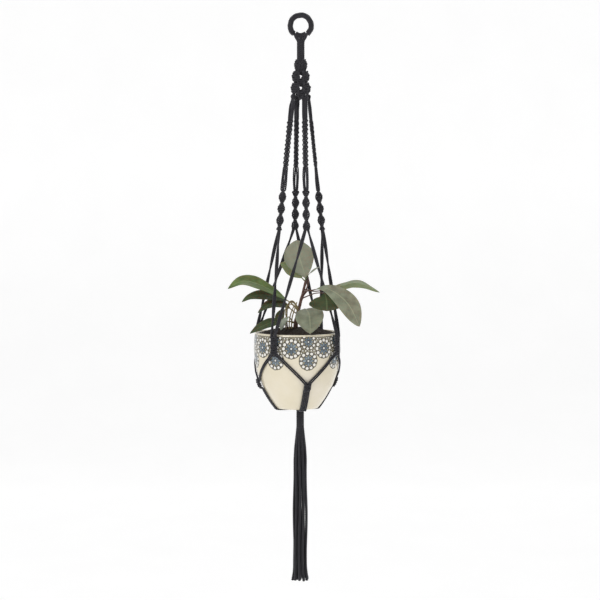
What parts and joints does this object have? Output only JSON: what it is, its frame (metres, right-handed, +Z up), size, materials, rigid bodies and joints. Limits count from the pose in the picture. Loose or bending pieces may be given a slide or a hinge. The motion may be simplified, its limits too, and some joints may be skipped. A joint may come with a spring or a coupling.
{
  "type": "hanging planter",
  "caption": "Knotted black cord plant hanger on a ring, with tasselled tail, net cradle, cream lace-patterned round pot, soil and a leafy houseplant.",
  "frame": {"origin": "inside top of the ring, where a hook bears", "axes": "+Z up along the hanger's length, front of the planter towards -Y, the ring in the XZ plane"},
  "size_m": [0.2797, 0.1689, 1.0496],
  "materials": {
    "black_cord": "matte",
    "ring_metal": "satin",
    "cream_glaze": "gloss",
    "potting_soil": "matte",
    "plant_stem": "matte",
    "leaf_green": "satin"
  },
  "bodies": {
    "ring": {"ring_core": "ring_metal", "ring_wrap": "black_cord"},
    "loops": {"ring_loops": "black_cord"},
    "hanger": {"branch_lower_back_left_to_back": "black_cord", "branch_lower_back_left_to_left": "black_cord", "branch_lower_back_right_to_back": "black_cord", "branch_lower_back_right_to_right": "black_cord", "branch_lower_front_left_to_front": "black_cord", "branch_lower_front_left_to_left": "black_cord", "branch_lower_front_right_to_front": "black_cord", "branch_lower_front_right_to_right": "black_cord", "branch_upper_back_to_back_left": "black_cord", "branch_upper_back_to_back_right": "black_cord", "branch_upper_front_to_front_left": "black_cord", "branch_upper_front_to_front_right": "black_cord", "branch_upper_left_to_back_left": "black_cord", "branch_upper_left_to_front_left": "black_cord", "branch_upper_right_to_back_right": "black_cord", "branch_upper_right_to_front_right": "black_cord", "crown_knots": "black_cord", "gather_knot": "black_cord", "leg_back_cords": "black_cord", "leg_back_spiral_knots": "black_cord", "leg_back_square_knots": "black_cord", "leg_front_cords": "black_cord", "leg_front_spiral_knots": "black_cord", "leg_front_square_knots": "black_cord", "leg_left_cords": "black_cord", "leg_left_spiral_knots": "black_cord", "leg_left_square_knots": "black_cord", "leg_right_cords": "black_cord", "leg_right_spiral_knots": "black_cord", "leg_right_square_knots": "black_cord", "neck_cords": "black_cord", "net_knot_lower_back": "black_cord", "net_knot_lower_front": "black_cord", "net_knot_lower_left": "black_cord", "net_knot_lower_right": "black_cord", "net_knot_upper_back_left": "black_cord", "net_knot_upper_back_right": "black_cord", "net_knot_upper_front_left": "black_cord", "net_knot_upper_front_right": "black_cord", "strap_back": "black_cord", "strap_front": "black_cord", "strap_left": "black_cord", "strap_right": "black_cord"},
    "pot": {"pot": "cream_glaze", "soil": "potting_soil", "plant_stem": "plant_stem", "leaf_front": "leaf_green", "leaf_left_lower": "leaf_green", "leaf_left_middle": "leaf_green", "leaf_left_rim": "leaf_green", "leaf_left_upper": "leaf_green", "leaf_right_front": "leaf_green", "leaf_right_long": "leaf_green", "leaf_right_upper": "leaf_green", "leaf_top": "leaf_green"},
    "tail": {"tail_fringe": "black_cord"}
  },
  "joints": [
    {"name": "ring_tilt", "type": "hinge", "parent": "ring", "child": "loops", "pos_m": [0, 0, -0.0336], "axis": [1, 0, 0], "range_deg": [-35, 35]},
    {"name": "hanger_twist", "type": "hinge", "parent": "loops", "child": "hanger", "pos_m": [0, 0, -0.0444], "axis": [0, 0, 1], "range_deg": [-45, 45], "stiffness_Nm_per_rad": 0.05},
    {"name": "pot_turn", "type": "hinge", "parent": "hanger", "child": "pot", "pos_m": [-0.0065, 0, -0.5756], "axis": [0, 0, 1], "range_deg": [-4, 4]},
    {"name": "tail_sway", "type": "hinge", "parent": "hanger", "child": "tail", "pos_m": [-0.001, 0, -0.76175], "axis": [0, 1, 0], "range_deg": [-20, 20]}
  ]
}
